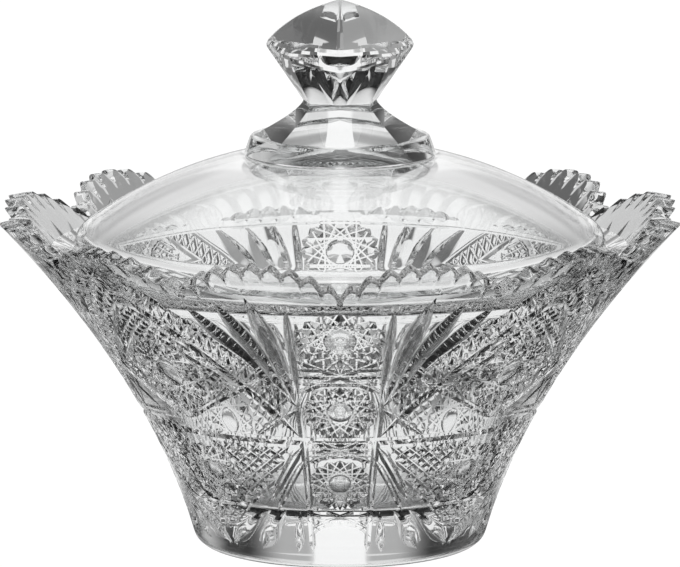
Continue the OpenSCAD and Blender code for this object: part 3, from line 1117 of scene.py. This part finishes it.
class Levels:
    """Makes the nodes that work out how bright a place of the table or the surroundings is."""

    def __init__(self, tree, space):
        self.nodes = tree.nodes
        self.links = tree.links
        place = self.nodes.new("ShaderNodeTexCoord")
        parts = self.nodes.new("ShaderNodeSeparateXYZ")
        self.links.new(place.outputs[space], parts.inputs[0])
        self.x = parts.outputs["X"]
        self.y = parts.outputs["Y"]
        self.z = parts.outputs["Z"]
        distance = self.nodes.new("ShaderNodeMath")
        distance.operation = "ABSOLUTE"
        self.links.new(self.x, distance.inputs[0])
        self.aside = distance.outputs[0]
        self.ray = self.nodes.new("ShaderNodeLightPath").outputs

    # A soft change from one level to another while a value crosses an edge
    def ramp(self, value, edge, start, end):
        node = self.nodes.new("ShaderNodeMapRange")
        node.interpolation_type = "SMOOTHSTEP"
        node.inputs["From Min"].default_value = edge[0]
        node.inputs["From Max"].default_value = edge[1]
        node.inputs["To Min"].default_value = start
        node.inputs["To Max"].default_value = end
        self.links.new(value, node.inputs["Value"])
        return node.outputs["Result"]

    # Values joined one after the other; the later ones may be plain numbers
    def joined(self, kind, first, *others):
        for other in others:
            node = self.nodes.new("ShaderNodeMath")
            node.operation = kind
            self.links.new(first, node.inputs[0])
            if isinstance(other, float):
                node.inputs[1].default_value = other
            else:
                self.links.new(other, node.inputs[1])
            first = node.outputs[0]
        return first

    def product(self, *values):
        return self.joined("MULTIPLY", *values)

    def largest(self, *values):
        return self.joined("MAXIMUM", *values)


# Zones of painted light and shade in the table's glow, which show in the glass, by their edges in metres
# from the axis, and their levels
FAR_EDGE = (0.15, 0.22)
NEAR_EDGE = (0.015, 0.055)
MIDDLE_EDGE = (0.075, 0.11)
SIDES_EDGE = (-0.03, 0.03)
SIDES_LEFT = 0.36
SIDES_RIGHT = 0.14
STRIPE_EDGE = (0.020, 0.032)
LANE_INNER_EDGE = (0.088, 0.098)
LANE_OUTER_EDGE = (0.135, 0.150)
LANE_NEAR_EDGE = (0.24, 0.30)
LANE_LEVEL = 0.75
DISTANT_EDGE = (0.62, 0.70)
DISTANT_SIDE_EDGE = (0.20, 0.35)
DISTANT_LEVEL = 0.5
AROUND_SIDE_EDGE = (0.26, 0.40)
AROUND_BACK_EDGE = (0.0, 0.15)
AROUND_LEVEL = 0.7
TABLE_DARK = 0.004
TABLE_WHITE = 1.06
TABLE_GLOW = 0.96
TABLE_SIZE = 6.0
TABLE_DROP = 0.0002


# How brightly the table glows: white to the camera, and painted light and dark zones in the glass
def table_level(levels):
    across = levels.aside
    along = levels.y
    far = levels.ramp(along, FAR_EDGE, 0.0, 1.0)
    middle = levels.product(
        levels.ramp(across, MIDDLE_EDGE, 1.0, 0.0),
        levels.ramp(along, NEAR_EDGE, 0.0, 1.0),
        levels.ramp(along, FAR_EDGE, 1.0, 0.0),
    )
    sides = levels.product(levels.ramp(levels.x, SIDES_EDGE, SIDES_LEFT, SIDES_RIGHT), far)
    stripe = levels.product(levels.ramp(across, STRIPE_EDGE, 1.0, 0.0), far)
    lanes = levels.product(
        levels.ramp(across, LANE_INNER_EDGE, 0.0, 1.0),
        levels.ramp(across, LANE_OUTER_EDGE, 1.0, 0.0),
        levels.ramp(along, LANE_NEAR_EDGE, 0.0, LANE_LEVEL),
    )
    distant = levels.product(
        levels.ramp(across, DISTANT_SIDE_EDGE, DISTANT_LEVEL, 1.0),
        levels.ramp(along, DISTANT_EDGE, 0.0, 1.0),
    )
    around = levels.product(
        levels.ramp(across, AROUND_SIDE_EDGE, 0.0, AROUND_LEVEL),
        levels.ramp(along, AROUND_BACK_EDGE, 1.0, 0.0),
    )
    white = levels.product(levels.ray["Is Camera Ray"], TABLE_WHITE)
    return levels.largest(middle, sides, TABLE_DARK, stripe, lanes, distant, around, white)


# Pale table top that keeps a faint share of the dish's shadow; it mostly glows, white to the camera and
# with painted light and dark zones in the glass
def make_floor():
    mesh = bpy.data.meshes.new("table_top")
    corners = [(-1, -1), (1, -1), (1, 1), (-1, 1)]
    mesh.from_pydata([(x * TABLE_SIZE, y * TABLE_SIZE, 0) for x, y in corners], [], [(0, 1, 2, 3)])
    obj = bpy.data.objects.new("table_top", mesh)
    scene.collection.objects.link(obj)
    obj.location.z = -TABLE_DROP
    mat = bpy.data.materials.new("table_painted_glow")
    mat.use_nodes = True
    nodes = mat.node_tree.nodes
    links = mat.node_tree.links
    nodes.clear()
    out = nodes.new("ShaderNodeOutputMaterial")
    mix = nodes.new("ShaderNodeMixShader")
    matte = nodes.new("ShaderNodeBsdfDiffuse")
    matte.inputs["Color"].default_value = (0.95, 0.95, 0.95, 1)
    glow = nodes.new("ShaderNodeEmission")
    glow.inputs["Color"].default_value = (1, 1, 1, 1)
    # The glow's strength paints light and shade zones onto the table for rays from the glass
    levels = Levels(mat.node_tree, "Object")
    links.new(table_level(levels), glow.inputs["Strength"])
    ray = levels.ray
    seen = levels.largest(ray["Is Camera Ray"], ray["Is Glossy Ray"], ray["Is Transmission Ray"])
    links.new(levels.product(seen, TABLE_GLOW), mix.inputs["Fac"])
    links.new(matte.outputs[0], mix.inputs[1])
    links.new(glow.outputs[0], mix.inputs[2])
    links.new(mix.outputs[0], out.inputs["Surface"])
    obj.data.materials.append(mat)


make_floor()

# Zones of the surroundings, by their edges as parts of a direction of length 1, and their levels
BACK_EDGE = (0.30, 0.60)
BACK_SIDE_EDGE = (0.26, 0.50)
BACK_SIDE_LEVEL = 0.10
VEIL_LOW_EDGE = (0.06, 0.16)
VEIL_SIDE_EDGE = (0.11, 0.14)
VEIL_LEVEL = 0.76
SHADE_LOW_EDGE = (0.04, 0.12)
SHADE_HIGH_EDGE = (0.20, 0.32)
SHADE_SIDE_EDGE = (0.10, 0.17)
SHADE_LEVEL = 0.6
FRONT_LOW_EDGE = (0.42, 0.52)
FRONT_NEAR_EDGE = (-0.62, -0.52)
FRONT_SIDE_EDGE = (0.36, 0.46)
FRONT_LEVEL = 0.9
OVERHEAD_EDGE = (0.86, 0.97)
OVERHEAD_LEVEL = 0.8
ROOM_DARK = 0.01
RIGHT_EDGE = (0.60, 0.85)
RIGHT_LEVEL = 0.6
ROUND_BACK_EDGE = (-0.1, 0.3)
ROUND_SIDE_EDGE = (0.40, 0.55)
ROUND_HIGH_EDGE = (0.30, 0.42)
ROUND_LEVEL = 0.8


# How bright the surroundings are: a white backdrop with grey parts, and light from above and the sides
def room_level(levels):
    aside = levels.aside
    height = levels.z
    depth = levels.y
    veil = levels.product(
        levels.ramp(height, VEIL_LOW_EDGE, 0.0, 1.0),
        levels.ramp(aside, VEIL_SIDE_EDGE, 0.0, 1.0),
    )
    shade = levels.product(
        levels.ramp(height, SHADE_LOW_EDGE, 0.0, 1.0),
        levels.ramp(height, SHADE_HIGH_EDGE, 1.0, 0.0),
        levels.ramp(aside, SHADE_SIDE_EDGE, 0.0, 1.0),
    )
    behind = levels.product(
        levels.ramp(aside, BACK_SIDE_EDGE, 1.0, BACK_SIDE_LEVEL),
        levels.ramp(depth, BACK_EDGE, 0.0, 1.0),
        levels.ramp(veil, (0.0, 1.0), 1.0, VEIL_LEVEL),
        levels.ramp(shade, (0.0, 1.0), 1.0, SHADE_LEVEL),
    )
    front = levels.product(
        levels.ramp(height, FRONT_LOW_EDGE, 0.0, 1.0),
        levels.ramp(depth, FRONT_NEAR_EDGE, 1.0, 0.0),
        levels.ramp(aside, FRONT_SIDE_EDGE, FRONT_LEVEL, 0.0),
    )
    overhead = levels.ramp(height, OVERHEAD_EDGE, ROOM_DARK, OVERHEAD_LEVEL)
    right = levels.ramp(levels.x, RIGHT_EDGE, 0.0, RIGHT_LEVEL)
    around = levels.product(
        levels.ramp(depth, ROUND_BACK_EDGE, ROUND_LEVEL, 0.0),
        levels.ramp(aside, ROUND_SIDE_EDGE, 0.0, 1.0),
        levels.ramp(height, ROUND_HIGH_EDGE, 1.0, 0.0),
    )
    return levels.largest(behind, overhead, front, right, around, levels.ray["Is Camera Ray"])


# Surroundings: white behind the dish, lighter at the sides and dark in front of it
def make_world():
    world = bpy.data.worlds.new("studio")
    scene.world = world
    world.use_nodes = True
    back = world.node_tree.nodes["Background"]
    back.inputs["Color"].default_value = (1, 1, 1, 1)
    levels = Levels(world.node_tree, "Generated")
    world.node_tree.links.new(room_level(levels), back.inputs["Strength"])


make_world()

# Camera at the photograph's angle, whose view is this wide at the dish
CAM_DISTANCE = 2.0
CAM_TILT = math.radians(10.2)
CAM_VIEW_W = 0.2
CAM_SENSOR = 36
AIM = Vector((0.0, 0.0, 0.077))
cam_data = bpy.data.cameras.new("camera")
cam = bpy.data.objects.new("camera", cam_data)
scene.collection.objects.link(cam)
cam.location = AIM + Vector((0, -math.cos(CAM_TILT), math.sin(CAM_TILT))) * CAM_DISTANCE
cam.rotation_euler = (math.pi / 2 - CAM_TILT, 0, 0)
cam_data.sensor_width = CAM_SENSOR
cam_data.lens = CAM_SENSOR * CAM_DISTANCE / CAM_VIEW_W
scene.camera = cam

scene.view_settings.view_transform = "Standard"

# Light passes many facets on its way through the glass
GLASS_BOUNCES = 64
scene.cycles.max_bounces = GLASS_BOUNCES
scene.cycles.transmission_bounces = GLASS_BOUNCES
scene.cycles.glossy_bounces = GLASS_BOUNCES
scene.cycles.transparent_max_bounces = 32
